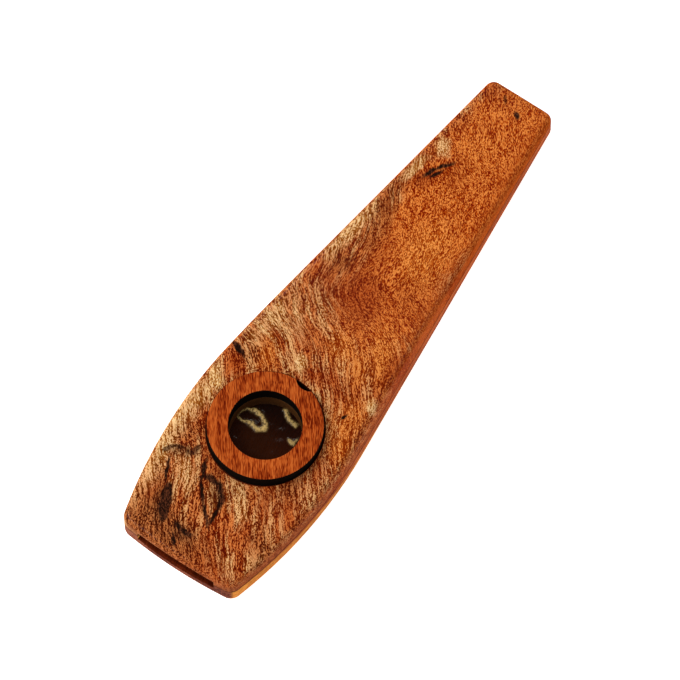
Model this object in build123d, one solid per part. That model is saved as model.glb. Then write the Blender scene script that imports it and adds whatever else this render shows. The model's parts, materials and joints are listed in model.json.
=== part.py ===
"""Wooden kazoo: two hollowed wooden shells, a film membrane and a push-in clamp ring.

Millimetres. X runs along the instrument from the mouth end (-X) to the narrow
outlet end (+X), Z is up, and the flat back lies on Z = 0.
"""
import os
from math import acos, atan2, cos, degrees, hypot, sin, sqrt

from build123d import *

# Plan of the body
body_length = 126.0
mouth_width = 27.4
mouth_bow = 0.85
belly_swell = 4.15
belly_from_mouth = 30.3
tip_width = 15.6
mouth_corner_radius = 2.6
tip_corner_radius = 2.0

# Side view of the body
mouth_thickness = 7.3
crest_thickness = 11.6
crest_from_mouth = 47.0
crest_radius = 150.0
tip_thickness = 6.0
top_edge_radius = 1.5

# Back shell
back_thickness = 3.8
back_edge_radius = 0.6
floor_thickness = 1.9

# Air channel from the mouth slot to the outlet
channel_side_wall = 4.1
mouth_lip_thickness = 1.7
mouth_floor_thickness = 2.6
seat_ledge_thickness = 3.3
outlet_roof_thickness = 1.9
slot_edge_break = 0.5

# Membrane and clamp ring
ring_from_mouth = 32.5
ring_outer_diameter = 24.1
ring_rim_width = 4.5
ring_thickness = 3.3
ring_edge_radius = 0.2
ring_clearance = 0.25
seat_below_crest = 2.7
membrane_margin = 0.45
membrane_thickness = 0.1
notch_radius = 3.0
notch_depth = 1.05
notch_angle = -7.0

# How far every cut runs past the face that it opens, and how close two places count as one
cut_overrun = 1.0
same_place = 0.05

# Most of a wall's height that a rounded edge may take, and the rise of an edge that counts as upright
rounding_share = 0.9
upright_share = 0.7

# Places along X and up Z
mouth_x = -body_length / 2
mouth_corner_x = mouth_x + mouth_bow
tip_x = body_length / 2
belly_x = mouth_x + belly_from_mouth
crest_x = mouth_x + crest_from_mouth
ring_x = mouth_x + ring_from_mouth
seat_z = crest_thickness - seat_below_crest
ring_bottom_z = seat_z + membrane_thickness
ring_radius = ring_outer_diameter / 2
port_radius = ring_radius - ring_rim_width
thinnest_top = min(mouth_thickness, tip_thickness) - back_thickness

# The sides are one long arc that swells from the mouth corner, and a straight neck tangent to it
belly_half_width = mouth_width / 2 + belly_swell
belly_run = belly_x - mouth_corner_x
belly_radius = (belly_run**2 + belly_swell**2) / (2 * belly_swell)
belly_centre_y = belly_half_width - belly_radius
tip_reach_x = tip_x - belly_x
tip_reach_y = tip_width / 2 - belly_centre_y
neck_turn = atan2(tip_reach_y, tip_reach_x) + acos(belly_radius / hypot(tip_reach_x, tip_reach_y))


def side_points(inset):
    """Mouth corner, neck tangent point and tip corner of one side, moved inwards by inset."""
    radius = belly_radius - inset
    mouth_y = belly_centre_y + sqrt(radius**2 - belly_run**2)
    neck_x = belly_x + radius * cos(neck_turn)
    neck_y = belly_centre_y + radius * sin(neck_turn)
    tip_y = neck_y - (tip_x - neck_x) * cos(neck_turn) / sin(neck_turn)
    return (mouth_corner_x, mouth_y), (neck_x, neck_y), (tip_x, tip_y)


def side_line(inset):
    """The arc and the straight neck of one side, moved inwards by inset."""
    mouth_corner, neck_start, tip_corner = side_points(inset)
    radius = belly_radius - inset
    mouth_turn = atan2(mouth_corner[1] - belly_centre_y, mouth_corner[0] - belly_x)
    belly = CenterArc((belly_x, belly_centre_y), radius, degrees(neck_turn), degrees(mouth_turn - neck_turn))
    neck = Line(neck_start, tip_corner)
    return [belly, neck]


def mirrored(lines):
    """The same lines on the other side of the long axis."""
    return [mirror(line, about=Plane.XZ) for line in lines]


def body_outline():
    """Plan of the body, with a bowed mouth end and rounded corners."""
    side = side_line(0)
    mouth_corner, _, tip_corner = side_points(0)
    mouth_end = ThreePointArc((mouth_corner_x, -mouth_corner[1]), (mouth_x, 0), mouth_corner)
    tip_end = Line((tip_x, -tip_corner[1]), tip_corner)
    plan = make_face(side + mirrored(side) + [mouth_end, tip_end])
    plan = fillet(plan.vertices().group_by(Axis.X)[0], mouth_corner_radius)
    return fillet(plan.vertices().group_by(Axis.X)[-1], tip_corner_radius)


def channel_outline():
    """Plan of the air channel, which runs out through both ends."""
    side = side_line(channel_side_wall)
    mouth_corner, _, tip_corner = side_points(channel_side_wall)
    mouth_out = (mouth_x - cut_overrun, mouth_corner[1])
    tip_out = (tip_x + cut_overrun, tip_corner[1])
    ends = [Line(mouth_corner, mouth_out), Line(tip_corner, tip_out)]
    mouth_end = Line((mouth_out[0], -mouth_out[1]), mouth_out)
    tip_end = Line((tip_out[0], -tip_out[1]), tip_out)
    return make_face(side + ends + mirrored(side + ends) + [mouth_end, tip_end])


def across(profile):
    """Solid of a side-view profile, drawn as (x, z) and run across the whole width."""
    reach = belly_half_width + cut_overrun
    return extrude(Plane.XZ * profile, amount=reach, both=True)


def air_channel():
    """The hollow from the mouth slot, under the membrane port, to the outlet."""
    roof = [
        (mouth_x - cut_overrun, mouth_thickness - mouth_lip_thickness),
        (mouth_x, mouth_thickness - mouth_lip_thickness),
        (ring_x, seat_z - seat_ledge_thickness),
        (tip_x, tip_thickness - outlet_roof_thickness),
        (tip_x + cut_overrun, tip_thickness - outlet_roof_thickness),
    ]
    floor = [
        (tip_x + cut_overrun, floor_thickness),
        (ring_x - port_radius, floor_thickness),
        (mouth_x, mouth_floor_thickness),
        (mouth_x - cut_overrun, mouth_floor_thickness),
    ]
    height = across(make_face(Polyline(*roof, *floor, close=True)))
    top = max(mouth_thickness, crest_thickness, tip_thickness)
    return extrude(channel_outline(), amount=top) & height


def upright_cylinder(radius, low, high):
    """Round solid on the ring's axis, between two heights."""
    base_aligned = (Align.CENTER, Align.CENTER, Align.MIN)
    return Pos(ring_x, 0, low) * Cylinder(radius, high - low, align=base_aligned)


def outer_top_edges(shell):
    """The edges where the top of the upper shell meets its sides and ends."""
    border = body_outline().wire()
    edges = []
    for edge in shell.edges():
        middle = edge @ 0.5
        level = Vector(middle.X, middle.Y, 0)
        upright = abs((edge % 0.5).Z) > upright_share
        on_border = border.distance_to(level) < same_place
        if middle.Z > back_thickness + same_place and on_border and not upright:
            edges.append(edge)
    return edges


def end_flare(end_x, outward, half_width, floor_z, roof_z):
    """Cut that breaks the sharp edges of a slot where the channel leaves an end of the body."""
    height = roof_z - floor_z
    faces = []
    for out in (-slot_edge_break, cut_overrun):
        grow = 2 * (out + slot_edge_break)
        place = Plane(
            origin=(end_x + outward * out, 0, floor_z + height / 2),
            x_dir=(0, 1, 0),
            z_dir=(1, 0, 0),
        )
        faces.append(place * Rectangle(2 * half_width + grow, height + grow))
    return loft(faces, ruled=True)


def hollow():
    """The air channel with the broken edges of its two ends."""
    mouth_corner, _, tip_corner = side_points(channel_side_wall)
    mouth_roof_z = mouth_thickness - mouth_lip_thickness
    outlet_roof_z = tip_thickness - outlet_roof_thickness
    mouth_flare = end_flare(mouth_x, -1, mouth_corner[1], mouth_floor_thickness, mouth_roof_z)
    tip_flare = end_flare(tip_x, 1, tip_corner[1], floor_thickness, outlet_roof_z)
    return air_channel() + mouth_flare + tip_flare


def upper_shell():
    """Figured top half: crowned along its length, hollowed, with the ring's seat and the port."""
    profile = Polyline(
        (mouth_x, back_thickness),
        (tip_x, back_thickness),
        (tip_x, tip_thickness),
        (crest_x, crest_thickness),
        (mouth_x, mouth_thickness),
        close=True,
    )
    side_view = make_face(profile)
    side_view = fillet(side_view.vertices().sort_by(Axis.Y)[-1], crest_radius)
    shell = extrude(body_outline(), amount=crest_thickness) & across(side_view)
    shell = fillet(outer_top_edges(shell), min(top_edge_radius, rounding_share * thinnest_top))
    shell -= hollow()
    shell -= upright_cylinder(ring_radius + ring_clearance, seat_z, crest_thickness + cut_overrun)
    shell -= upright_cylinder(port_radius, back_thickness - cut_overrun, seat_z + cut_overrun)
    return shell


def back_shell():
    """Plain bottom half: a shallow hollowed tray with a flat back."""
    tray = extrude(body_outline(), amount=back_thickness)
    tray = fillet(tray.faces().sort_by(Axis.Z)[0].edges(), back_edge_radius)
    return tray - hollow()


def membrane():
    """Thin film disc that lies on the seat, over the port."""
    return upright_cylinder(ring_radius - membrane_margin, seat_z, ring_bottom_z)


def clamp_ring():
    """Flat ring that presses the membrane on its seat, with a scalloped notch to prise it out."""
    ring = Circle(ring_radius) - Circle(port_radius)
    notch_centre = ring_radius + notch_radius - notch_depth
    ring -= Rot(0, 0, notch_angle) * Pos(notch_centre, 0) * Circle(notch_radius)
    solid = extrude(ring, amount=ring_thickness)
    solid = fillet(solid.faces().sort_by(Axis.Z)[-1].edges(), ring_edge_radius)
    return Pos(ring_x, 0, ring_bottom_z) * solid


nodes = {
    "upper_shell": upper_shell(),
    "back_shell": back_shell(),
    "membrane": membrane(),
    "clamp_ring": clamp_ring(),
}

os.makedirs("parts", exist_ok=True)
for name, shape in nodes.items():
    export_step(shape, f"parts/{name}.step")
    box = shape.bounding_box()
    print(name, len(shape.solids()), "solid", round(shape.volume, 1), "mm3", box.min, box.max)
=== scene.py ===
"""Looks of a wooden kazoo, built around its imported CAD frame.

Metres, in the part's own frame: X runs from the mouth end to the narrow outlet end, Z is up and the
flat back lies on the floor. The two wooden shells and the clamp ring are CAD nodes in their finishes.
The membrane is a crinkled clear film that stands for the plain CAD disc.
"""

import json
import logging
import math
from collections.abc import Iterable, Iterator, Mapping
from dataclasses import dataclass
from enum import Enum
from functools import reduce
from typing import Any, ClassVar

import bmesh
import bpy
from mathutils import Matrix, Vector, noise

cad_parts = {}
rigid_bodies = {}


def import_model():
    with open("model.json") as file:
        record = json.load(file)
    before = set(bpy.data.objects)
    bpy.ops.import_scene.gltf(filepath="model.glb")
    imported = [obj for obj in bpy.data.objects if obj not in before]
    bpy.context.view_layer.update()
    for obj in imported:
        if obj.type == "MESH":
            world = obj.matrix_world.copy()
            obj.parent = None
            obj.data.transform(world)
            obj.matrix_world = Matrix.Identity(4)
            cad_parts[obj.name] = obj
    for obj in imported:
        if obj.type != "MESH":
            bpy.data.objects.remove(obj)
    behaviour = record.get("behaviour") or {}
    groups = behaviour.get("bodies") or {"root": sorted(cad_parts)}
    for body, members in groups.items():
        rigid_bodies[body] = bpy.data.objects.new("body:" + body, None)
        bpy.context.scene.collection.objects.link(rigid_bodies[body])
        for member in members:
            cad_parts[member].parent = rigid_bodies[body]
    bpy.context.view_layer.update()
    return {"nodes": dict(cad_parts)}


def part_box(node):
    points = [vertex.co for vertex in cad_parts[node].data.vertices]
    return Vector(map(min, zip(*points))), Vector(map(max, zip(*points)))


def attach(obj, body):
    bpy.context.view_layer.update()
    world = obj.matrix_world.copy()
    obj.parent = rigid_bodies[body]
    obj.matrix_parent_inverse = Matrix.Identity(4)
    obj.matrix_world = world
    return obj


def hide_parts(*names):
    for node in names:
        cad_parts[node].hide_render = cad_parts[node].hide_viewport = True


LOG = logging.getLogger("kazoo")

Display = tuple[int, int, int]
Colour = tuple[float, float, float, float]
Point = tuple[float, float, float]
Signal = bpy.types.NodeSocket

MILLIMETRE = 0.001
PER_METRE = 1000.0
WHITE: Colour = (1.0, 1.0, 1.0, 1.0)
PORE_DEPTH = 0.05 * MILLIMETRE

# Display colours run to 255, on a curve with a straight foot and then a power
DISPLAY_FULL = 255
FOOT_END = 0.04045
FOOT_SLOPE = 12.92
CURVE_OFFSET = 0.055
CURVE_POWER = 2.4


def linear(share: float) -> float:
    """Return the linear strength of a display channel that runs from 0 to 1."""
    if share <= FOOT_END:
        return share / FOOT_SLOPE
    return ((share + CURVE_OFFSET) / (1 + CURVE_OFFSET)) ** CURVE_POWER


def tint(red: int, green: int, blue: int) -> Colour:
    """Return a display colour as the opaque linear colour that shader sockets take."""
    shares = [linear(channel / DISPLAY_FULL) for channel in (red, green, blue)]
    return (shares[0], shares[1], shares[2], 1.0)


class Socket(Enum):
    """Kinds of socket on a shared effect."""

    NUMBER = "NodeSocketFloat"
    VECTOR = "NodeSocketVector"


class Graph:
    """A shader node tree in the making, with a short call for each kind of node that the finishes use."""

    mix_inputs: ClassVar[tuple[int, int, int]] = (0, 6, 7)
    mix_output: ClassVar[int] = 2

    def __init__(self, tree: bpy.types.NodeTree) -> None:
        """Start on an existing tree."""
        self.tree = tree

    def feed(self, socket: Signal, value: Any) -> None:
        """Link a socket to another node's output, or set its own value."""
        if isinstance(value, Signal):
            self.tree.links.new(value, socket)
        else:
            socket.default_value = value

    def fill(self, node: bpy.types.Node, feeds: Mapping[Any, Any]) -> None:
        """Feed several inputs of a node, by name or number."""
        for key, value in feeds.items():
            self.feed(node.inputs[key], value)

    def add(self, kind: str, feeds: Mapping[Any, Any] | None = None, **settings: Any) -> bpy.types.Node:
        """Add a node.

        Args:
            kind: Blender's name for the node type.
            feeds: Values or outputs for its inputs, by name or number.
            settings: The node's own options.

        Returns:
            The new node.
        """
        node = self.tree.nodes.new(kind)
        for name, value in settings.items():
            setattr(node, name, value)
        self.fill(node, feeds or {})
        return node

    def math(self, operation: str, first: Any, second: Any = 0.0) -> Signal:
        """Return the output of a Math node."""
        return self.add("ShaderNodeMath", {0: first, 1: second}, operation=operation).outputs[0]

    def vector(self, operation: str, first: Any, second: Any) -> Signal:
        """Return the vector that a Vector Math node puts out."""
        return self.add("ShaderNodeVectorMath", {0: first, 1: second}, operation=operation).outputs[0]

    def scaled(self, vector: Any, factor: Any) -> Signal:
        """Return a vector times a number."""
        return self.add("ShaderNodeVectorMath", {0: vector, "Scale": factor}, operation="SCALE").outputs[0]

    def dot(self, first: Any, second: Any) -> Signal:
        """Return the dot product of two vectors."""
        node = self.add("ShaderNodeVectorMath", {0: first, 1: second}, operation="DOT_PRODUCT")
        return node.outputs["Value"]

    def length(self, vector: Any) -> Signal:
        """Return the length of a vector."""
        return self.add("ShaderNodeVectorMath", {0: vector}, operation="LENGTH").outputs["Value"]

    def turned(self, place: Any, angle: Any, centre: Any = (0.0, 0.0, 0.0)) -> Signal:
        """Return a point turned about an upright axis, so that a line at the angle comes to lie along X."""
        feeds = {"Vector": place, "Center": centre, "Angle": angle}
        return self.add("ShaderNodeVectorRotate", feeds, rotation_type="Z_AXIS", invert=True).outputs[0]

    def parts(self, vector: Any) -> tuple[Signal, ...]:
        """Return the X, Y and Z of a vector."""
        return tuple(self.add("ShaderNodeSeparateXYZ", {0: vector}).outputs)

    def span(self, value: Any, low: Any, high: Any, start: Any = 0.0, end: Any = 1.0) -> Signal:
        """Return start below low, end above high, and a smooth step between them."""
        feeds = {"Value": value, "From Min": low, "From Max": high, "To Min": start, "To Max": end}
        return self.add("ShaderNodeMapRange", feeds, interpolation_type="SMOOTHSTEP").outputs[0]

    def noise(self, place: Any, scale: Any = 1.0, detail: Any = 2.0, rough: float = 0.5) -> bpy.types.Node:
        """Return a Noise Texture node."""
        feeds = {"Vector": place, "Scale": scale, "Detail": detail, "Roughness": rough}
        return self.add("ShaderNodeTexNoise", feeds)

    def mix(self, share: Any, first: Any, second: Any) -> Signal:
        """Return a mix of two colours, from all of the first at share 0 to all of the second at 1."""
        feeds = dict(zip(self.mix_inputs, (share, first, second)))
        return self.add("ShaderNodeMix", feeds, data_type="RGBA", clamp_factor=True).outputs[self.mix_output]

    def ramp(self, value: Any, stops: Iterable[tuple[float, Colour]]) -> Signal:
        """Look a value up on a colour ramp.

        Args:
            value: The value, from 0 to 1.
            stops: The ramp's stops, each a place from 0 to 1 and a colour.

        Returns:
            The colour.
        """
        node = self.add("ShaderNodeValToRGB", {0: value})
        listed = list(stops)
        elements = node.color_ramp.elements
        while len(elements) < len(listed):
            elements.new(1.0)
        for element, (place, colour) in zip(elements, listed):
            element.position = place
            element.color = colour
        return node.outputs[0]

    def largest(self, masks: Iterable[Signal]) -> Signal:
        """Return the largest of several masks, taken in one by one to keep the shader small."""
        return reduce(lambda whole, mask: self.math("MAXIMUM", whole, mask), masks)

    def place(self, effect: type["Effect"], **feeds: Any) -> Signal:
        """Place a shared effect, fed by the names of its inputs, and return its one output."""
        return self.add("ShaderNodeGroup", feeds, node_tree=effect.tree()).outputs[0]

    def millimetres(self) -> Signal:
        """Return the point on the piece, in millimetres of the part's frame."""
        return self.scaled(self.add("ShaderNodeTexCoord").outputs["Object"], PER_METRE)

    def facing(self, axis: str) -> Signal:
        """Return how far the surface faces along an axis, from -1 to 1."""
        normal = self.add("ShaderNodeTexCoord").outputs["Normal"]
        return self.add("ShaderNodeSeparateXYZ", {0: normal}).outputs[axis]


class Effect:
    """An effect that several finishes share: a node group, built once and placed with its own values."""

    title: ClassVar[str]
    inputs: ClassVar[dict[str, Socket]]
    output: ClassVar[tuple[str, Socket]]

    @classmethod
    def tree(cls) -> bpy.types.NodeTree:
        """Return the effect's node group, and build it the first time."""
        known = bpy.data.node_groups.get(cls.title)
        if known is not None:
            return known
        tree = bpy.data.node_groups.new(cls.title, "ShaderNodeTree")
        for name, kind in cls.inputs.items():
            tree.interface.new_socket(name=name, in_out="INPUT", socket_type=kind.value)
        name, kind = cls.output
        tree.interface.new_socket(name=name, in_out="OUTPUT", socket_type=kind.value)
        graph = Graph(tree)
        given = graph.add("NodeGroupInput").outputs
        graph.feed(graph.add("NodeGroupOutput").inputs[0], cls.wire(graph, given))
        return tree

    @classmethod
    def wire(cls, graph: Graph, given: bpy.types.NodeOutputs) -> Signal:
        """Build the nodes of the effect.

        Args:
            graph: The effect's own tree.
            given: The effect's inputs, by name.

        Returns:
            The socket that the effect puts out.
        """
        raise NotImplementedError


class Sway(Effect):
    """Points pushed about by a soft noise, so that what is drawn on them wavers."""

    title = "sway"
    inputs = {"Place": Socket.VECTOR, "Reach": Socket.NUMBER, "Size": Socket.NUMBER}
    output = ("Place", Socket.VECTOR)
    detail = 1.5
    noise_middle = (0.5, 0.5, 0.5)

    @classmethod
    def wire(cls, graph: Graph, given: bpy.types.NodeOutputs) -> Signal:
        """Add noise of the given size, times the given reach, to the place."""
        push = graph.noise(given["Place"], graph.math("DIVIDE", 1.0, given["Size"]), cls.detail)
        centred = graph.vector("SUBTRACT", push.outputs["Color"], cls.noise_middle)
        return graph.vector("ADD", given["Place"], graph.scaled(centred, given["Reach"]))


class Fibre(Effect):
    """Streaks that run along the grain: noise that is stretched along one direction."""

    title = "fibre"
    inputs = {
        "Place": Socket.VECTOR,
        "Turn": Socket.NUMBER,
        "Length": Socket.NUMBER,
        "Width": Socket.NUMBER,
        "Detail": Socket.NUMBER,
    }
    output = ("Value", Socket.NUMBER)
    roughness = 0.6

    @classmethod
    def wire(cls, graph: Graph, given: bpy.types.NodeOutputs) -> Signal:
        """Turn the place to lie along the grain, then shrink it to one streak and take noise there."""
        turned = graph.turned(given["Place"], given["Turn"])
        size = graph.add("ShaderNodeCombineXYZ", {0: given["Length"], 1: given["Width"], 2: given["Width"]})
        shrunk = graph.vector("DIVIDE", turned, size.outputs[0])
        return graph.noise(shrunk, 1.0, given["Detail"], cls.roughness).outputs[0]


class Ripple(Effect):
    """Fine even lines along the grain, which waver and come and go."""

    title = "ripple"
    inputs = {"Place": Socket.VECTOR, "Turn": Socket.NUMBER, "Pitch": Socket.NUMBER}
    output = ("Value", Socket.NUMBER)
    detail = 1.0
    slip_scale = 0.35
    slip_reach = 9.0
    patch_scale = 0.16
    patch_low = 0.35
    patch_high = 0.6

    @classmethod
    def wire(cls, graph: Graph, given: bpy.types.NodeOutputs) -> Signal:
        """Take a wave across the grain, from -1 to 1, and fade it in places."""
        turned = graph.turned(given["Place"], given["Turn"])
        across = graph.parts(turned)[1]
        drift = graph.noise(given["Place"], cls.slip_scale, cls.detail).outputs[0]
        slip = graph.math("MULTIPLY", drift, cls.slip_reach)
        phase = graph.math("MULTIPLY", graph.math("DIVIDE", across, given["Pitch"]), math.tau)
        wave = graph.math("SINE", graph.math("ADD", phase, slip))
        patches = graph.noise(given["Place"], cls.patch_scale, cls.detail).outputs[0]
        return graph.math("MULTIPLY", wave, graph.span(patches, cls.patch_low, cls.patch_high))


class Blot(Effect):
    """An oval patch, seen from above, with a soft edge."""

    title = "blot"
    inputs = {
        "Place": Socket.VECTOR,
        "Centre": Socket.VECTOR,
        "Turn": Socket.NUMBER,
        "Size": Socket.VECTOR,
        "Edge": Socket.NUMBER,
    }
    output = ("Mask", Socket.NUMBER)

    @classmethod
    def wire(cls, graph: Graph, given: bpy.types.NodeOutputs) -> Signal:
        """Measure how far out of the oval a point is, and fade over the edge."""
        turned = graph.turned(given["Place"], given["Turn"], given["Centre"])
        offset = graph.vector("SUBTRACT", turned, given["Centre"])
        out = graph.length(graph.vector("DIVIDE", offset, given["Size"]))
        inner = graph.math("SUBTRACT", 1.0, given["Edge"])
        return graph.span(out, inner, graph.math("ADD", 1.0, given["Edge"]), 1.0, 0.0)


@dataclass(frozen=True)
class Waver:
    """How far soft noise pushes points about, and how wide its swells are, in millimetres."""

    reach: float
    size: float

    def push(self, graph: Graph, place: Signal) -> Signal:
        """Return the place, pushed about."""
        return graph.place(Sway, Place=place, Reach=self.reach, Size=self.size)


@dataclass(frozen=True)
class Fade:
    """A smooth step: start below low, end above high."""

    low: float
    high: float
    start: float = 0.0
    end: float = 1.0

    def of(self, graph: Graph, value: Signal) -> Signal:
        """Return the step's value."""
        return graph.span(value, self.low, self.high, self.start, self.end)


@dataclass(frozen=True)
class Patch:
    """An oval patch of a wood's figure, seen from above, in millimetres of the part's frame."""

    depth: ClassVar[float] = 1000.0
    x: float
    y: float
    length: float
    width: float
    turn: float = 37.0
    edge: float = 0.35
    share: float = 1.0

    def mask(self, graph: Graph, place: Signal) -> Signal:
        """Return the patch's mask over the given place, right through the wood."""
        oval = graph.place(
            Blot,
            Place=place,
            Centre=(self.x, self.y, 0.0),
            Turn=math.radians(self.turn),
            Size=(self.length / 2, self.width / 2, self.depth),
            Edge=self.edge,
        )
        return oval if self.share == 1.0 else graph.math("MULTIPLY", oval, self.share)


@dataclass(frozen=True)
class Stroke:
    """A line of a wood's figure through a row of points, seen from above, in millimetres."""

    points: tuple[tuple[float, float], ...]
    width: float
    edge: float = 0.45
    share: float = 1.0

    def mask(self, graph: Graph, place: Signal) -> Signal:
        """Return the stroke's mask over the given place."""
        return graph.largest(oval.mask(graph, place) for oval in self.ovals())

    def ovals(self) -> Iterator[Patch]:
        """Give one oval patch for each stretch between two points."""
        for start, end in zip(map(Vector, self.points), map(Vector, self.points[1:])):
            along = end - start
            middle = (start + end) / 2
            turn = math.degrees(math.atan2(along.y, along.x))
            size = (along.length + self.width, self.width)
            yield Patch(*middle, *size, turn, self.edge, self.share)


@dataclass(frozen=True)
class Palette:
    """Colours of a wood from its pores to its brightest fibres."""

    pore: Display
    body: Display
    shine: Display
    stops: tuple[float, float, float] = (0.16, 0.52, 0.90)

    def colour(self, graph: Graph, value: Signal) -> Signal:
        """Return the colour for a figure value from 0 to 1."""
        colours = (tint(*colour) for colour in (self.pore, self.body, self.shine))
        return graph.ramp(value, zip(self.stops, colours))


@dataclass(frozen=True)
class Layer:
    """One layer of a wood's figure: streaks of a length and a width in millimetres, and their weight."""

    length: float
    width: float
    weight: float
    low: float = 0.36
    high: float = 0.64
    detail: float = 1.0

    def value(self, graph: Graph, flow: Signal, turn: float) -> Signal:
        """Return the layer's share of the figure, from minus half its weight in a pore to plus half."""
        streaks = graph.place(
            Fibre,
            Place=flow,
            Turn=math.radians(turn),
            Length=self.length,
            Width=self.width,
            Detail=self.detail,
        )
        return graph.span(streaks, self.low, self.high, -self.weight / 2, self.weight / 2)


def figure_of(graph: Graph, flow: Signal, turn: float, layers: Iterable[Layer]) -> Signal:
    """Add up the layers of a wood's figure.

    Args:
        graph: The material's graph.
        flow: The point, swayed so that the grain wavers.
        turn: Direction of the grain, in degrees from X.
        layers: The layers.

    Returns:
        The figure, about 0 in a pore and about 1 in a bright fibre.
    """
    figure: Any = 0.5
    for layer in layers:
        figure = graph.math("ADD", figure, layer.value(graph, flow, turn))
    return figure


def new_material(name: str) -> tuple[bpy.types.Material, Graph, bpy.types.Node]:
    """Make an empty node material.

    Args:
        name: The material's name.

    Returns:
        The material, its graph and its Principled shader.
    """
    material = bpy.data.materials.new(name)
    material.use_nodes = True
    graph = Graph(material.node_tree)
    shader = next(node for node in material.node_tree.nodes if node.type == "BSDF_PRINCIPLED")
    return material, graph, shader


def emboss(graph: Graph, shader: bpy.types.Node, height: Signal, strength: float) -> None:
    """Give a shader's surface a relief, about 1 high from pore to fibre, that shows by its strength."""
    feeds = {"Strength": strength, "Distance": PORE_DEPTH, "Height": height}
    graph.fill(shader, {"Normal": graph.add("ShaderNodeBump", feeds).outputs[0]})


@dataclass(frozen=True)
class Landmarks:
    """Places of the upper shell, in millimetres: the ring's axis and seat, and the glue line's height."""

    ring_axis: Point
    seat_radius: float
    seam: float


@dataclass(frozen=True)
class Grain:
    """What the figured wood's colours are drawn from: places, the figure and where it turns plain."""

    place: Signal
    ragged: Signal
    marked: Signal
    plain: Signal
    figure: Signal
    bands: Signal


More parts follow.
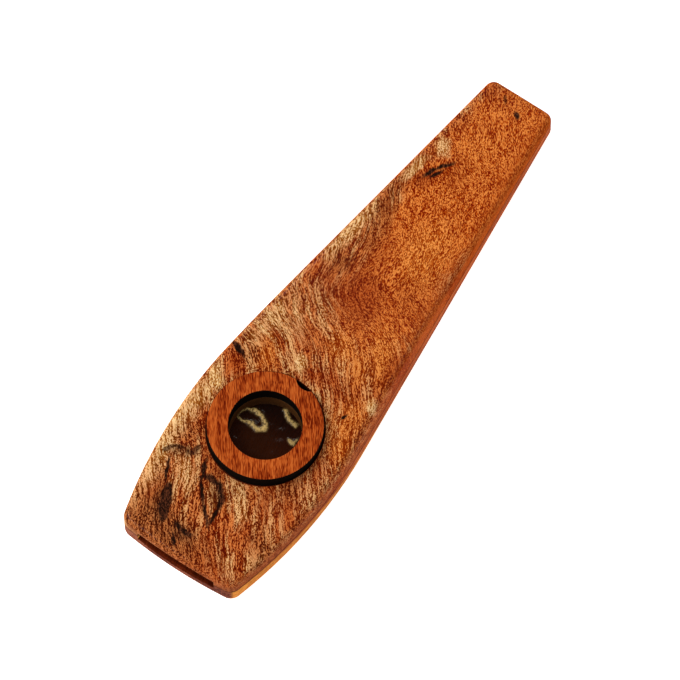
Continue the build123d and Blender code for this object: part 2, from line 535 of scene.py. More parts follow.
@dataclass(frozen=True)
class FiguredWood:
    """Oiled burl-like hardwood of the upper shell: flecks, streaks, pale patches and dark inclusions, with
    light and shade painted on its edges and shade painted in its hollows.
    """

    name: str = "figured_wood"
    grain_turn: float = 37.0
    flecks: Layer = Layer(0.44, 0.15, 0.86, 0.36, 0.64, 0.0)
    mottle: Layer = Layer(3.6, 1.5, 0.28)
    spots: Layer = Layer(0.8, 0.32, 0.45, 0.38, 0.62, 0.0)
    lines: Layer = Layer(8.0, 0.27, 0.80, 0.38, 0.62)
    drift: Layer = Layer(10.0, 1.8, 0.20)
    bands: Layer = Layer(14.0, 1.7, 1.0, 0.38, 0.58)
    grain_waver: Waver = Waver(6.0, 15.0)
    fine_waver: Waver = Waver(0.4, 1.4)
    patch_waver: Waver = Waver(2.2, 2.0)
    mark_waver: Waver = Waver(1.1, 1.4)
    plain_waver: Waver = Waver(6.0, 5.0)
    ripple_pitch: float = 1.05
    ripple_weight: float = 0.22
    streaks_left: Fade = Fade(0.0, 1.0, 1.0, 0.2)
    bulge_centre: tuple[float, float] = (-0.4, 9.6)
    bulge_reach: float = 5.4
    bulge_length: float = 9.0
    tan: Palette = Palette((94, 22, 0), (174, 92, 28), (234, 178, 118))
    rust: Palette = Palette((88, 14, 0), (152, 54, 9), (213, 122, 60))
    orange: Palette = Palette((118, 20, 0), (192, 80, 12), (231, 137, 62))
    red: Palette = Palette((96, 18, 0), (146, 50, 8), (190, 92, 36))
    cream: Palette = Palette((150, 78, 16), (214, 152, 74), (251, 214, 156))
    gold: Palette = Palette((146, 50, 2), (208, 104, 24), (244, 160, 78))
    umber: Palette = Palette((50, 10, 0), (120, 52, 19), (190, 116, 62))
    inclusion: Palette = Palette((26, 11, 5), (52, 24, 13), (92, 48, 28), (0.3, 0.75, 1.0))
    # Raw wood of the seat and of the air channel's roof, darkened as painted shade of these hollows
    shaded_raw_inside: Colour = tint(88, 34, 15)
    port_wall: Colour = tint(128, 80, 40)
    glue_line: Colour = tint(58, 22, 8)
    # Side colours of the belly: painted shade, darker, on the sides that face right and on most of the
    # mouth's lip, and painted light, paler, on the sides that face left
    shaded_belly_edge: Palette = Palette((84, 30, 9), (140, 66, 30), (180, 98, 54))
    lit_edge: Palette = Palette((150, 90, 46), (206, 152, 98), (240, 204, 158))
    neck_edge: Palette = Palette((116, 38, 6), (176, 76, 22), (210, 112, 48))
    plain_zones: tuple[Patch, ...] = (
        Patch(40, -2.2, 88, 19.5, -1, 0.2), Patch(8, -6, 26, 15, 8, 0.5),
    )
    red_zones: tuple[Patch, ...] = (
        Patch(5, 1, 14, 10, 30, 0.8, 1), Patch(9.5, -7, 10, 9, 0, 0.8, 0.5),
        Patch(-12, -10, 24, 9, 0, 0.8, 0.3), Patch(60.5, 4.5, 6, 9, 0, 0.7, 0.45),
        Patch(-4.6, -14.4, 9, 3.6, -3, 0.6, 0.8), Patch(-43, -8.5, 10, 2.6, 37, 0.7, 0.8),
        Patch(35.2, 5.6, 5.4, 3.2, -20, 0.7, 0.9), Patch(-22.5, 13, 4.6, 3.2, 30, 0.6, 0.9),
        Patch(-58, -4.6, 7, 3, 37, 0.7, 0.7), Patch(-54.6, 11.2, 8, 2.4, 37, 0.7, 0.8),
        Patch(-51.5, -10.3, 6, 2.2, 37, 0.7, 0.7), Patch(-39, -12, 16, 6, 20, 0.9, 0.7),
        Patch(-46.5, -14.5, 9, 4, 30, 0.8, 0.45), Patch(-32, -14.2, 9, 4, 10, 0.8, 0.6),
        Patch(16, 4, 9, 5, 20, 0.8, 0.6), Patch(4.5, 8.6, 10, 6, 45, 0.8, 0.75),
        Patch(-61.5, 1, 6, 27, 0, 0.6, 0.9), Patch(-9.5, 6, 6, 3, 37, 0.8, 0.55),
        Patch(-15, -3.6, 7, 4, -60, 0.8, 0.7), Patch(40, 2, 8, 6, 37, 0.8, 0.45),
    )
    gold_zones: tuple[Patch, ...] = (
        Patch(-4.5, -11, 11, 5, 30, 0.8, 0.8), Patch(19.5, -4.6, 14, 8, 10, 0.9, 0.7),
        Patch(46, 0, 12, 6, 0, 0.9, 0.2), Patch(-17, 9, 7, 4, 37, 0.9, 0.5),
        Patch(-20, -13, 12, 6, -4, 0.9, 0.6), Patch(-9, -8.5, 8, 5, 20, 0.8, 0.7),
        Patch(-7.5, -3, 7, 5, 37, 0.8, 0.6), Patch(-25.4, -15, 7, 4, 20, 0.8, 0.7),
    )
    # Cream figure, and one painted highlight: the long patch at x -44, y 15.6 along the left edge of the
    # belly
    cream_and_highlight_zones: tuple[Patch, ...] = (
        Patch(-27.2, 14.9, 5, 2.8, 37, 0.45, 0.95), Patch(-14.9, 2.1, 4.4, 2.4, 37, 0.5, 0.7),
        Patch(43.3, 6.75, 4.6, 3.2, 37, 0.5, 0.7), Patch(16.6, 11.4, 14, 3.2, -3.5, 0.7, 0.75),
        Patch(35.8, 9, 7, 2.4, -6, 0.6, 0.75), Patch(-44, 15.6, 22, 4.4, 8, 0.7, 0.7),
        Patch(-46.4, -5.4, 9, 2.2, 30, 0.7, 0.3), Patch(-14.5, -15.4, 3.4, 2, 10, 0.6, 0.8),
        Patch(-6, 9, 12, 2.2, 45, 0.7, 0.3), Patch(-33.5, 15.8, 12, 4.6, -3, 0.7, 0.7),
        Patch(-47, 8.8, 7, 3.4, 37, 0.8, 0.5), Patch(-55.5, -15.3, 6, 3, 30, 0.8, 0.3),
        Patch(-10.5, 13, 12, 3.6, 0, 0.8, 0.45),
    )
    umber_zones: tuple[Patch, ...] = (
        Patch(-60.6, 6.5, 13, 23, 0, 0.6, 0.85), Patch(-57.6, 9, 9, 7, 0, 0.7, 0.9),
        Patch(-37.5, -11, 7, 4, 25, 0.8, 0.6), Patch(-18.6, 12, 6, 4, 30, 0.8, 0.6),
        Patch(22.6, 7.6, 17, 4.2, 12.6, 0.6, 0.5), Patch(9.1, 8.5, 6.5, 4.2, 0, 0.7, 0.55),
        Patch(-50, 2, 13, 8, 37, 0.7, 0.35), Patch(-40, 12.6, 8, 4, -50, 0.7, 0.5),
        Patch(-52, -13.5, 9, 5, 37, 0.8, 0.6), Patch(-50, 12.8, 6, 2.4, 37, 0.8, 0.5),
    )
    # Patches along the right edge where the painted shade of the edge and sides turns redder
    red_edges: tuple[Patch, ...] = (
        Patch(-3.6, -16, 12, 5, -5, 0.7, 0.85), Patch(19, -12.9, 7, 3.4, -5, 0.8, 0.6),
        Patch(-30, -17.6, 8, 4, 0, 0.8, 0.5),
    )
    # Painted shade: a soft dark band along the right edge, from the middle of the body to the outlet end
    right_edge_shade: tuple[Stroke, ...] = (Stroke(((-4.0, -15.2), (30.0, -11.3), (66.0, -7.3)), 4.4, 0.85, 0.7),)
    inclusions: tuple[Patch | Stroke, ...] = (
        Patch(-19.2, 14.6, 4.8, 1.1, 68, 0.5),
        Stroke(((-45.3, 14.7), (-43.8, 13.5), (-43, 11.5)), 1.2, 0.5, 0.85),
        Stroke(((-43, 10.4), (-42.8, 9.4), (-41.2, 9.1)), 1.3, 0.5, 0.85),
        Stroke(((-46.4, 12.9), (-50.9, 10.6)), 0.75),
        Stroke(((-51.8, 9.4), (-57.2, 6.8)), 2.6, 0.2),
        Stroke(((-42.6, 6.3), (-46.7, 4.7), (-50.8, 1.3), (-54.1, -2.2)), 0.9),
        Stroke(((-45.4, 4.4), (-45.5, 1.3), (-46.8, -0.6), (-49.4, -1.7)), 1.5),
        Stroke(((-49.4, -1.7), (-53.6, -2)), 0.9),
        Stroke(((-57.1, 3.4), (-57.7, 1.7), (-57.5, -0.2)), 1.4),
        Stroke(((-59.4, 2.7), (-61, 1.3)), 1),
        Patch(-47.4, 0.6, 6.4, 2.6, 37, 0.6, 0.4), Patch(-54.4, 8.8, 9.6, 3.8, 27, 0.6, 0.5),
        Patch(-58.2, 1.4, 5.4, 3.4, -70, 0.7, 0.5), Patch(-43.6, 11.6, 7.4, 2.6, -62, 0.7, 0.6),
        Stroke(((35.6, 6.1), (38.2, 5.2), (41.4, 3)), 1),
        Stroke(((36, 4.8), (38.6, 3.8)), 0.8),
        Patch(58.4, -1.5, 1.9, 1.3, 37, 0.4), Patch(60.1, 2.6, 2, 0.8, 37, 0.5, 0.7),
        Patch(-19.45, -11.84, 1.7, 0.7, -30, 0.4),
    )
    neck_start: Fade = Fade(-34.0, 10.0)
    side_low: Fade = Fade(0.0, 1.0, -0.1, 0.2)
    side_high: Fade = Fade(0.0, 1.0, 0.7, 0.93)
    belly_wall: Fade = Fade(4.8, 8.6, 1.0, 0.15)
    calm_share: float = 0.3
    calm_level: float = 0.35
    mouth_face: Fade = Fade(-0.7, -0.3, 1.0, 0.0)
    # Painted light: how far the mouth's lip turns pale toward its left end, and how far the sides that face
    # left turn pale
    lit_lip: Fade = Fade(-9.0, 12.0, 0.05, 0.25)
    lit_side: Fade = Fade(0.1, 0.4)
    # Painted shade on the rounded edge between top and sides, strongest where it turns steepest
    roll_shade: Fade = Fade(0.55, 1.0, 0.45, 0.0)
    seat_margin: float = 0.08
    ledge_width: float = 4.5
    underside: float = -0.5
    glue: Fade = Fade(0.25, 0.6, 0.9, 0.0)
    roughness: Fade = Fade(0.2, 0.9, 0.5, 0.36)
    coat_on_top: Fade = Fade(0.8, 0.985, 0.03, 0.22)
    coat_along: Fade = Fade(0.0, 30.0, 1.0, 0.2)
    coat_roughness: float = 0.16
    hand_finish_scale: float = 0.12
    hand_finish_weight: float = 3.0
    relief: float = 0.4

    def material(self, landmarks: Landmarks) -> bpy.types.Material:
        """Build the material.

        Args:
            landmarks: Places of the upper shell.

        Returns:
            The finished material.
        """
        material, graph, shader = new_material(self.name)
        grain = self.grain(graph)
        colour = self.top_colour(graph, grain)
        colour = self.edge_colour(graph, grain, colour)
        colour = self.hidden_faces(graph, grain.place, colour, landmarks)
        finish = {
            "Base Color": colour,
            "Roughness": self.roughness.of(graph, grain.figure),
            "Coat Weight": self.polish(graph, grain.place),
            "Specular IOR Level": 0.0,
            "Coat Roughness": self.coat_roughness,
        }
        graph.fill(shader, finish)
        swell = graph.noise(grain.place, self.hand_finish_scale).outputs[0]
        uneven = graph.math("MULTIPLY", swell, self.hand_finish_weight)
        emboss(graph, shader, graph.math("ADD", grain.figure, uneven), self.relief)
        return material

    def grain(self, graph: Graph) -> Grain:
        """Lay out what the colours are drawn from.

        Args:
            graph: The material's graph.

        Returns:
            The places and values of the grain.
        """
        place = graph.millimetres()
        flow = self.grain_waver.push(graph, self.bulged(graph, place))
        flow = self.fine_waver.push(graph, flow)
        ragged = self.patch_waver.push(graph, place)
        marked = self.mark_waver.push(graph, place)
        loose = self.plain_waver.push(graph, place)
        plain = graph.largest(zone.mask(graph, loose) for zone in self.plain_zones)
        figure = self.figure(graph, flow, plain)
        bands = graph.math("ADD", self.bands.value(graph, flow, self.grain_turn), 0.5)
        return Grain(place, ragged, marked, plain, figure, bands)

    def figure(self, graph: Graph, flow: Signal, plain: Signal) -> Signal:
        """Return the figure from 0, a pore, to 1, a bright fibre.

        Args:
            graph: The material's graph.
            flow: The point, swayed so that the grain wavers.
            plain: Where the grain lines fade into flecks, from 0 to 1.

        Returns:
            The figure's value.
        """
        base = figure_of(graph, flow, self.grain_turn, (self.flecks, self.mottle))
        lines = self.lines.value(graph, flow, self.grain_turn)
        left = self.streaks_left.of(graph, plain)
        streaks = graph.math("ADD", lines, self.drift.value(graph, flow, self.grain_turn))
        turn = math.radians(self.grain_turn)
        ripple = graph.place(Ripple, Place=flow, Turn=turn, Pitch=self.ripple_pitch)
        streaks = graph.math("ADD", streaks, graph.math("MULTIPLY", ripple, self.ripple_weight))
        spots = graph.math("MULTIPLY", self.spots.value(graph, flow, self.grain_turn), plain)
        return graph.math("ADD", graph.math("ADD", base, spots), graph.math("MULTIPLY", streaks, left))

    def bulged(self, graph: Graph, place: Signal) -> Signal:
        """Bow the grain out to one side of the eye in the middle of the body.

        Args:
            graph: The material's graph.
            place: The point, in millimetres.

        Returns:
            The point, moved across the grain.
        """
        turn = math.radians(self.grain_turn)
        offset = graph.vector("SUBTRACT", place, (*self.bulge_centre, 0.0))
        along = graph.dot(offset, (math.cos(turn), math.sin(turn), 0.0))
        share = graph.math("DIVIDE", along, self.bulge_length)
        bell = graph.math("EXPONENT", graph.math("MULTIPLY", graph.math("MULTIPLY", share, share), -1.0))
        across = (self.bulge_reach * math.sin(turn), -self.bulge_reach * math.cos(turn), 0.0)
        return graph.vector("ADD", place, graph.scaled(across, bell))

    def top_colour(self, graph: Graph, grain: Grain) -> Signal:
        """Colour the top: tan and rust streaks, the plain orange neck, then the patches, one of them a
        painted highlight by the left edge, and dark marks.

        Args:
            graph: The material's graph.
            grain: The places and values of the grain.

        Returns:
            The top's colour.
        """
        figure = grain.figure
        colour = graph.mix(grain.bands, self.tan.colour(graph, figure), self.rust.colour(graph, figure))
        colour = graph.mix(grain.plain, colour, self.orange.colour(graph, figure))
        for palette, zones, place in (
            (self.gold, self.gold_zones, grain.ragged),
            (self.red, self.red_zones, grain.ragged),
            (self.cream, self.cream_and_highlight_zones, grain.ragged),
            (self.umber, self.umber_zones, grain.ragged),
            (self.inclusion, self.inclusions, grain.marked),
        ):
            mask = graph.largest(zone.mask(graph, place) for zone in zones)
            colour = graph.mix(mask, colour, palette.colour(graph, figure))
        return colour

    def edge_colour(self, graph: Graph, grain: Grain, colour: Signal) -> Signal:
        """Colour the sides and the mouth's lip, with painted light on the sides that face left and toward
        the lip's left end and painted shade on the belly's other sides, and paint shade on the rounded edge
        between sides and top and along the right edge.

        Args:
            graph: The material's graph.
            grain: The places and values of the grain.
            colour: The top's colour.

        Returns:
            The colour with the edges in it.
        """
        along, across, height = graph.parts(grain.place)
        neck = self.neck_start.of(graph, along)
        rise = graph.facing("Z")
        side = graph.span(rise, self.side_low.of(graph, neck), self.side_high.of(graph, neck), 1.0, 0.0)
        wall = self.belly_wall.of(graph, height)
        side = graph.math("MULTIPLY", side, graph.math("MAXIMUM", wall, neck))
        calm = graph.math("ADD", graph.math("MULTIPLY", grain.figure, self.calm_share), self.calm_level)
        mouth = self.mouth_face.of(graph, graph.facing("X"))
        # Painted light: pale on the sides that face left and toward the left end of the mouth's lip
        lip = graph.math("MULTIPLY", mouth, self.lit_lip.of(graph, across))
        pale = graph.math("MAXIMUM", lip, self.lit_side.of(graph, graph.facing("Y")))
        belly = graph.mix(pale, self.shaded_belly_edge.colour(graph, calm), self.lit_edge.colour(graph, calm))
        edges = graph.mix(neck, belly, self.neck_edge.colour(graph, calm))
        # Painted shade on the rounded edge and along the right edge, in the darker side colours, kept off
        # the sides painted pale
        rolled_shade = graph.math("MULTIPLY", self.roll_shade.of(graph, rise), graph.math("SUBTRACT", 1.0, pale))
        belly = self.shaded_belly_edge.colour(graph, grain.figure)
        painted_light = graph.mix(neck, belly, self.neck_edge.colour(graph, calm))
        edge_shade = graph.largest(zone.mask(graph, grain.ragged) for zone in self.right_edge_shade)
        reds = graph.largest(zone.mask(graph, grain.ragged) for zone in self.red_edges)
        painted_light = graph.mix(reds, painted_light, self.red.colour(graph, calm))
        edges = graph.mix(reds, edges, self.red.colour(graph, calm))
        colour = graph.mix(graph.math("MAXIMUM", rolled_shade, edge_shade), colour, painted_light)
        # The sides take their side colours, painted pale where they face left and shaded elsewhere on the
        # belly
        return graph.mix(side, colour, edges)

    def hidden_faces(self, graph: Graph, place: Signal, colour: Signal, landmarks: Landmarks) -> Signal:
        """Colour the raw wood of the seat and the air channel, darkened as painted shade of these hollows,
        the port's lighter raw wood, and the glue line.

        Args:
            graph: The material's graph.
            place: The point, in millimetres.
            colour: The finished wood's colour.
            landmarks: Places of the upper shell.

        Returns:
            The colour with the hidden faces in it.
        """
        offset = graph.vector("SUBTRACT", place, landmarks.ring_axis)
        out = graph.length(graph.vector("MULTIPLY", offset, (1.0, 1.0, 0.0)))
        in_seat = graph.math("LESS_THAN", out, landmarks.seat_radius + self.seat_margin)
        under = graph.math("LESS_THAN", graph.facing("Z"), self.underside)
        # Seat and underside: raw wood, darkened as painted shade of the hollows
        colour = graph.mix(graph.math("MAXIMUM", in_seat, under), colour, self.shaded_raw_inside)
        in_port = graph.math("LESS_THAN", out, landmarks.seat_radius - self.ledge_width)
        colour = graph.mix(in_port, colour, self.port_wall)
        height = graph.math("SUBTRACT", graph.parts(place)[2], landmarks.seam)
        return graph.mix(self.glue.of(graph, height), colour, self.glue_line)

    def polish(self, graph: Graph, place: Signal) -> Signal:
        """Return the weight of the oil's gloss, which lies on the top and thins along the neck."""
        top = self.coat_on_top.of(graph, graph.facing("Z"))
        return graph.math("MULTIPLY", top, self.coat_along.of(graph, graph.parts(place)[0]))


@dataclass(frozen=True)
class PlainWood:
    """Straight-grained orange-brown hardwood of the back shell, darker on its end grain, and raw inside,
    darkened there as painted shade of the air channel.
    """

    name: str = "back_wood"
    grain_turn: float = 4.0
    layers: tuple[Layer, ...] = (Layer(2.6, 0.16, 0.3), Layer(26.0, 0.5, 0.3), Layer(60.0, 6.0, 0.35))
    waver: Waver = Waver(5.0, 26.0)
    wood: Palette = Palette((176, 102, 36), (212, 132, 52), (232, 156, 72))
    end_grain: Palette = Palette((70, 26, 14), (120, 58, 38), (150, 88, 62))
    # Raw wood of the air channel's floor, darkened as painted shade of the channel
    shaded_raw_inside: Palette = Palette((62, 18, 4), (80, 25, 7), (98, 36, 13))
    neck_edge: Palette = Palette((116, 40, 10), (166, 74, 27), (196, 100, 46))
    wedge_start: float = -55.0
    wedge_slope: float = 0.055
    wedge_height: Fade = Fade(3.2, 4.2)
    upright_face: Fade = Fade(0.4, 0.8, 1.0, 0.0)
    end_face: Fade = Fade(0.62, 0.86)
    inside_face: float = 0.5
    roughness: Fade = Fade(0.2, 0.8, 0.52, 0.4)
    coat: float = 0.06
    coat_roughness: float = 0.25
    relief: float = 0.4

    def material(self) -> bpy.types.Material:
        """Build the material and return it."""
        material, graph, shader = new_material(self.name)
        place = graph.millimetres()
        figure = figure_of(graph, self.waver.push(graph, place), self.grain_turn, self.layers)
        along, _, height = graph.parts(place)
        wedge = graph.math("MULTIPLY", graph.math("SUBTRACT", along, self.wedge_start), self.wedge_slope)
        edge = self.upright_face.of(graph, graph.math("ABSOLUTE", graph.facing("Z")))
        red = self.wedge_height.of(graph, graph.math("ADD", height, wedge))
        edge = graph.math("MULTIPLY", edge, red)
        colour = graph.mix(edge, self.wood.colour(graph, figure), self.neck_edge.colour(graph, figure))
        ends = self.end_face.of(graph, graph.math("ABSOLUTE", graph.facing("X")))
        colour = graph.mix(ends, colour, self.end_grain.colour(graph, figure))
        # Faces that look up are the air channel's floor: raw wood, darkened as painted shade
        inside = graph.math("GREATER_THAN", graph.facing("Z"), self.inside_face)
        colour = graph.mix(inside, colour, self.shaded_raw_inside.colour(graph, figure))
        finish = {
            "Base Color": colour,
            "Roughness": self.roughness.of(graph, figure),
            "Specular IOR Level": 0.0,
            "Coat Weight": self.coat,
            "Coat Roughness": self.coat_roughness,
        }
        graph.fill(shader, finish)
        emboss(graph, shader, figure, self.relief)
        return material


@dataclass(frozen=True)
class RingWood:
    """Laser-cut mahogany of the clamp ring: fine straight grain on top, burnt black walls."""

    name: str = "ring_wood"
    grain_turn: float = 37.0
    layers: tuple[Layer, ...] = (
        Layer(1.3, 0.16, 0.38, 0.38, 0.62, 0.0),
        Layer(9.0, 0.17, 0.44, 0.40, 0.60),
        Layer(5.0, 2.0, 0.30),
    )
    waver: Waver = Waver(1.6, 7.0)
    wood: Palette = Palette((98, 20, 0), (166, 66, 18), (198, 98, 38))
    char: Colour = tint(15, 10, 7)
    burnt_face: Fade = Fade(0.75, 0.95, 1.0, 0.0)
    roughness: Fade = Fade(0.0, 1.0, 0.5, 0.8)
    specular: float = 0.02
    relief: float = 0.5

    def material(self) -> bpy.types.Material:
        """Build the material and return it."""
        material, graph, shader = new_material(self.name)
        flow = self.waver.push(graph, graph.millimetres())
        figure = figure_of(graph, flow, self.grain_turn, self.layers)
        burnt = self.burnt_face.of(graph, graph.math("ABSOLUTE", graph.facing("Z")))
        finish = {
            "Base Color": graph.mix(burnt, self.wood.colour(graph, figure), self.char),
            "Roughness": self.roughness.of(graph, burnt),
            "Specular IOR Level": self.specular,
        }
        graph.fill(shader, finish)
        emboss(graph, shader, figure, self.relief)
        return material


@dataclass(frozen=True)
class ClearFilm:
    """Thin glossy film, smoky brown, with a pale painted reflection of the lights along its sharpest creases
    and painted shade that darkens it toward the outlet end.
    """

    name: str = "clear_film"
    smoke: Colour = tint(70, 32, 13)
    # Painted shade: the film's smoke turns darker toward the outlet end, where the channel below lies in
    # shade
    shaded_smoke: Colour = tint(22, 12, 6)
    haze: Colour = tint(150, 128, 92)
    # Painted reflection: the pale cream of the lights' glints on the sharpest creases, where the film is
    # also made more opaque
    crease: Colour = tint(194, 160, 94)
    fuzz_scale: float = 2.4
    fuzz_roughness: float = 0.6
    fuzz: Fade = Fade(0.3, 0.6, 0.35, 1.0)
    glint: Fade = Fade(0.1, 1.0)
    outlet_shade: Fade = Fade(-36.0, -25.0)
    cover: Fade = Fade(0.0, 1.0, 0.38, 0.5)
    crease_full: float = 0.8
    crease_cover: float = 0.92
    roughness: Fade = Fade(0.0, 0.5, 0.14, 0.5)
    specular: float = 0.25

    def material(self) -> bpy.types.Material:
        """Build the material and return it."""
        material, graph, shader = new_material(self.name)
        painted_light = graph.add("ShaderNodeAttribute", attribute_name=Membrane.crease_attribute).outputs["Fac"]
        place = graph.millimetres()
        fuzz = graph.noise(place, self.fuzz_scale, rough=self.fuzz_roughness).outputs[0]
        # Painted reflection: a ragged pale glint where the film lies on a crease
        pale = graph.math("MULTIPLY", self.glint.of(graph, painted_light), self.fuzz.of(graph, fuzz))
        pressed = graph.add("ShaderNodeAttribute", attribute_name=Membrane.rim_attribute).outputs["Fac"]
        # Painted shade: darker smoke toward the outlet end
        smoke = graph.mix(self.outlet_shade.of(graph, graph.parts(place)[0]), self.smoke, self.shaded_smoke)
        colour = graph.mix(pale, graph.mix(pressed, smoke, self.haze), self.crease)
        cover = self.cover.of(graph, pressed)
        finish = {
            "Base Color": colour,
            "Alpha": graph.span(pale, 0.0, self.crease_full, cover, self.crease_cover),
            "Roughness": self.roughness.of(graph, pale),
            "Specular IOR Level": self.specular,
        }
        graph.fill(shader, finish)
        return material


@dataclass(frozen=True)
class PaleTable:
    """Evenly lit pale floor."""

    name: str = "pale_table"
    paint: Colour = (0.92, 0.92, 0.92, 1.0)
    roughness: float = 0.9
    glow: float = 0.88

    def material(self) -> bpy.types.Material:
        """Build the material and return it."""
        material, graph, shader = new_material(self.name)
        finish = {
            "Base Color": self.paint,
            "Roughness": self.roughness,
            "Specular IOR Level": 0.0,
            "Emission Color": self.paint,
            "Emission Strength": self.glow,
        }
        graph.fill(shader, finish)
        return material


def dress(node: bpy.types.Object, material: bpy.types.Material) -> None:
    """Put one material in every slot of an object."""
    if not node.data.materials:
        node.data.materials.append(material)
    for number in range(len(node.data.materials)):
        node.data.materials[number] = material


@dataclass
class Body:
    """The two glued wooden shells."""

    upper: bpy.types.Object
    back: bpy.types.Object
    upper_finish: FiguredWood = FiguredWood()
    back_finish: PlainWood = PlainWood()
    seat_clearance: float = 0.25 * MILLIMETRE

    def dress(self) -> None:
        """Give both shells their woods."""
        dress(self.upper, self.upper_finish.material(self.landmarks()))
        dress(self.back, self.back_finish.material())
        LOG.info("body: upper shell and back shell dressed")

    def landmarks(self) -> Landmarks:
        """Measure the places that the upper shell's finish depends on.

        Returns:
            The places, in millimetres.
        """
        low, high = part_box("clamp_ring")
        radius = (high.y - low.y) / 2
        # The notch cuts the ring's +X side, so its axis is measured from the other side
        axis = Vector((low.x + radius, (low.y + high.y) / 2, low.z)) * PER_METRE
        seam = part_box("upper_shell")[0].z
        return Landmarks(tuple(axis), PER_METRE * (radius + self.seat_clearance), PER_METRE * seam)


@dataclass
class ClampRing:
    """The push-in ring that holds the membrane."""

    node: bpy.types.Object
    finish: RingWood = RingWood()

    def dress(self) -> None:
        """Give the ring its wood."""
        dress(self.node, self.finish.material())
        LOG.info("clamp ring dressed")


@dataclass(frozen=True)
class Crease:
    """A ridge of the film through a row of points, in millimetres from the film's centre."""

    points: tuple[tuple[float, float], ...]
    height: float
    width: float

    def share(self, place: Vector) -> float:
        """Return how near a point is to the ridge, from 0 to 1."""
        ends = [Vector(point) for point in self.points]
        nearest = min(self.distance(place, a, b) for a, b in zip(ends, ends[1:]))
        return math.exp(-((nearest / self.width) ** 2))

    @staticmethod
    def distance(place: Vector, start: Vector, end: Vector) -> float:
        """Return how far a point is from the line between two others."""
        along = end - start
        reach = min(1.0, max(0.0, (place - start).dot(along) / along.length_squared))
        return (place - start - along * reach).length


@dataclass
class Membrane:
    """The crinkled film that buzzes under the ring."""

    crease_attribute: ClassVar[str] = "crease"
    rim_attribute: ClassVar[str] = "rim"
    name: str = "membrane_film"
    rings: int = 90
    spokes: int = 240
    weld: float = 1e-7
    free_radius: float = 7.5 * MILLIMETRE
    rim_blend: float = 0.4 * MILLIMETRE
    edge_hold: float = 6.0
    pucker: float = 0.12 * MILLIMETRE
    pucker_scale: float = 0.6
    waver: float = 0.35
    waver_seed: int = 5
    waver_scale: float = 0.9
    waver_level: float = 4.0
    finish: ClearFilm = ClearFilm()
    creases: tuple[Crease, ...] = (
        Crease(((2.0, 6.2), (2.4, 4.6)), 0.30, 0.42),
        Crease(((2.4, 4.6), (2.45, 2.6), (1.5, 1.35)), 0.30, 0.66),
        Crease(((-0.6, 6.7), (-0.62, 5.0), (-0.3, 3.3)), 0.30, 0.44),
        Crease(((-0.3, 3.3), (-0.56, 1.6), (0.47, 0.44), (1.5, 1.35)), 0.30, 0.66),
        Crease(((-0.6, 6.7), (0.8, 6.6), (2.0, 6.2)), 0.12, 0.24),
        Crease(((6.2, -0.8), (5.5, -1.5)), 0.28, 0.62),
        Crease(((5.5, -1.5), (4.6, -2.5), (4.7, -4.5), (5.1, -4.8)), 0.28, 0.58),
        Crease(((1.1, -5.2), (1.0, -6.3), (0.86, -6.6)), 0.22, 0.58),
        Crease(((1.0, -6.2), (2.6, -6.7)), 0.20, 0.42),
    )

    def build(self) -> bpy.types.Object:
        """Make the film in the place of the CAD disc.

        Returns:
            The film, dressed, on its body.
        """
        low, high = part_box("membrane")
        radius = (high.x - low.x) / 2
        mesh = self.mesh(radius, (low + high) / 2)
        film = bpy.data.objects.new(self.name, mesh)
        bpy.context.scene.collection.objects.link(film)
        dress(film, self.finish.material())
        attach(film, "film")
        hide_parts("membrane")
        LOG.info("membrane film built: %d faces", len(mesh.polygons))
        return film

    def mesh(self, radius: float, centre: Vector) -> bpy.types.Mesh:
        """Spin a flat disc of fine rings and crumple it.

        Args:
            radius: The disc's radius, in metres.
            centre: Where its middle goes.

        Returns:
            The film's mesh.
        """
        shape = bmesh.new()
        tip = shape.verts.new((0.0, 0.0, 0.0))
        rim = shape.verts.new((radius, 0.0, 0.0))
        bmesh.ops.subdivide_edges(shape, edges=[shape.edges.new((tip, rim))], cuts=self.rings)
        bmesh.ops.spin(
            shape,
            geom=shape.verts[:] + shape.edges[:],
            axis=(0, 0, 1),
            cent=(0, 0, 0),
            angle=math.tau,
            steps=self.spokes,
            use_merge=True,
        )
        bmesh.ops.remove_doubles(shape, verts=shape.verts, dist=self.weld)
        bmesh.ops.recalc_face_normals(shape, faces=shape.faces)
        # The crease layer marks where the film's finish paints a pale glint
        painted_light = shape.verts.layers.float.new(self.crease_attribute)
        pressed = shape.verts.layers.float.new(self.rim_attribute)
        noise.seed_set(self.waver_seed)
        for vert in shape.verts:
            vert[pressed] = min(1.0, max(0.0, (vert.co.length - self.free_radius) / self.rim_blend))
            self.crumple(vert, painted_light)
        bmesh.ops.translate(shape, verts=shape.verts, vec=centre)
        for face in shape.faces:
            face.smooth = True
        mesh = bpy.data.meshes.new(self.name)
        shape.to_mesh(mesh)
        shape.free()
        return mesh

    def crumple(self, vert: bmesh.types.BMVert, painted_light: bmesh.types.BMLayerItem) -> None:
        """Lift a point of the flat film onto its creases and note how near a crease it lies, which is where
        the finish paints a pale glint.

        Args:
            vert: The point, with the film's centre as its origin.
            painted_light: The layer that takes how near the creases the point lies, from 0 to 1, where the
                finish paints a glint.
        """
        place = vert.co.to_2d() * PER_METRE
        drift = noise.noise_vector((place * self.waver_scale).to_3d() + Vector((0.0, 0.0, self.waver_level)))
        free = max(0.0, 1.0 - vert.co.length / self.free_radius)
        fade = min(1.0, self.edge_hold * free)
        shares = [crease.share(place + drift.to_2d() * self.waver) for crease in self.creases]
        rise = max(crease.height * share for crease, share in zip(self.creases, shares)) * MILLIMETRE
        rise += self.pucker * noise.noise((place * self.pucker_scale).to_3d())
        vert[painted_light] = max(shares) * fade
        vert.co.z = rise * fade


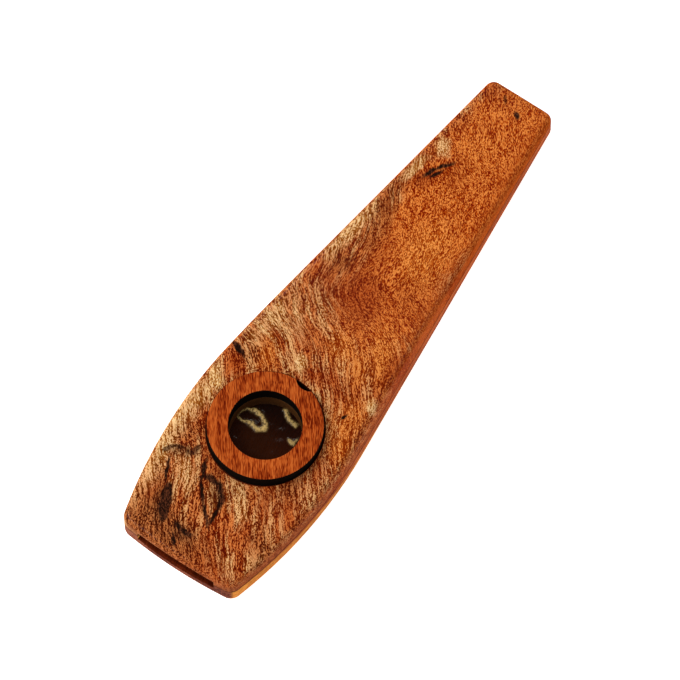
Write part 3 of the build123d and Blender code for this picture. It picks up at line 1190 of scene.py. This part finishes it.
@dataclass(frozen=True)
class SoftBox:
    """A square studio light that points at the object."""

    name: str
    azimuth: float
    elevation: float
    distance: float
    side: float
    power: float

    def build(self, target: Vector) -> None:
        """Place the light.

        Args:
            target: The point that it faces.
        """
        turn, rise = math.radians(self.azimuth), math.radians(self.elevation)
        away = Vector((math.cos(turn) * math.cos(rise), math.sin(turn) * math.cos(rise), math.sin(rise)))
        lamp = bpy.data.lights.new(self.name, "AREA")
        lamp.shape = "SQUARE"
        lamp.size = self.side
        lamp.energy = self.power
        light = bpy.data.objects.new(self.name, lamp)
        light.location = target + away * self.distance
        light.rotation_euler = away.to_track_quat("Z", "Y").to_euler()
        bpy.context.scene.collection.objects.link(light)


@dataclass
class Studio:
    """Floor, lights and camera."""

    floor_side: float = 4.0
    floor_drop: float = 0.05 * MILLIMETRE
    ambient: float = 0.10
    target: Point = (-0.00382, 0.00008, 0.005)
    azimuth: float = -53.954
    elevation: float = 66.636
    roll: float = -1.376
    distance: float = 1.5545
    lens: float = 400.0
    sensor: float = 36.0
    nearest: float = 0.01
    farthest: float = 10.0
    table: PaleTable = PaleTable()
    lights: tuple[SoftBox, ...] = (
        SoftBox("left_light", 127.0, 40.0, 0.9, 0.6, 7.5),
        SoftBox("right_light", -53.0, 30.0, 1.0, 0.6, 2.0),
        SoftBox("mouth_light", 217.0, 32.0, 1.0, 0.6, 2.2),
        SoftBox("neck_light", 37.0, 38.0, 1.0, 0.6, 4.0),
    )

    def build(self) -> None:
        """Make the whole studio."""
        self.build_floor()
        self.build_world()
        for light in self.lights:
            light.build(Vector(self.target))
        self.build_camera()
        bpy.context.scene.view_settings.view_transform = "Standard"
        LOG.info("studio: floor, %d lights and camera", len(self.lights))

    def build_floor(self) -> None:
        """Make the pale floor that the kazoo lies on."""
        mesh = bpy.data.meshes.new("floor")
        shape = bmesh.new()
        bmesh.ops.create_grid(shape, x_segments=1, y_segments=1, size=self.floor_side / 2)
        shape.to_mesh(mesh)
        shape.free()
        floor = bpy.data.objects.new("floor", mesh)
        floor.location.z = -self.floor_drop
        bpy.context.scene.collection.objects.link(floor)
        dress(floor, self.table.material())

    def build_world(self) -> None:
        """Set a dim even light all round."""
        world = bpy.data.worlds.new("studio")
        world.use_nodes = True
        backdrop = next(node for node in world.node_tree.nodes if node.type == "BACKGROUND")
        backdrop.inputs["Color"].default_value = WHITE
        backdrop.inputs["Strength"].default_value = self.ambient
        bpy.context.scene.world = world

    def build_camera(self) -> None:
        """Set the camera at the photograph's angle."""
        turn, rise, roll = (math.radians(angle) for angle in (self.azimuth, self.elevation, self.roll))
        back = Vector((math.sin(turn) * math.cos(rise), -math.cos(turn) * math.cos(rise), math.sin(rise)))
        level = Vector((math.cos(turn), math.sin(turn), 0.0))
        upright = back.cross(level)
        right = level * math.cos(roll) + upright * math.sin(roll)
        up = upright * math.cos(roll) - level * math.sin(roll)
        lens = bpy.data.cameras.new("camera")
        lens.lens = self.lens
        lens.sensor_width = self.sensor
        lens.clip_start = self.nearest
        lens.clip_end = self.farthest
        camera = bpy.data.objects.new("camera", lens)
        bpy.context.scene.collection.objects.link(camera)
        turned = Matrix((right, up, back)).transposed().to_4x4()
        camera.matrix_world = Matrix.Translation(Vector(self.target) + back * self.distance) @ turned
        bpy.context.scene.camera = camera


def main() -> None:
    """Load the frame, then build and dress each sub-assembly."""
    logging.basicConfig(level=logging.INFO)
    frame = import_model()
    nodes = frame["nodes"]
    Body(nodes["upper_shell"], nodes["back_shell"]).dress()
    ClampRing(nodes["clamp_ring"]).dress()
    Membrane().build()
    Studio().build()


if __name__ == "__main__":
    main()
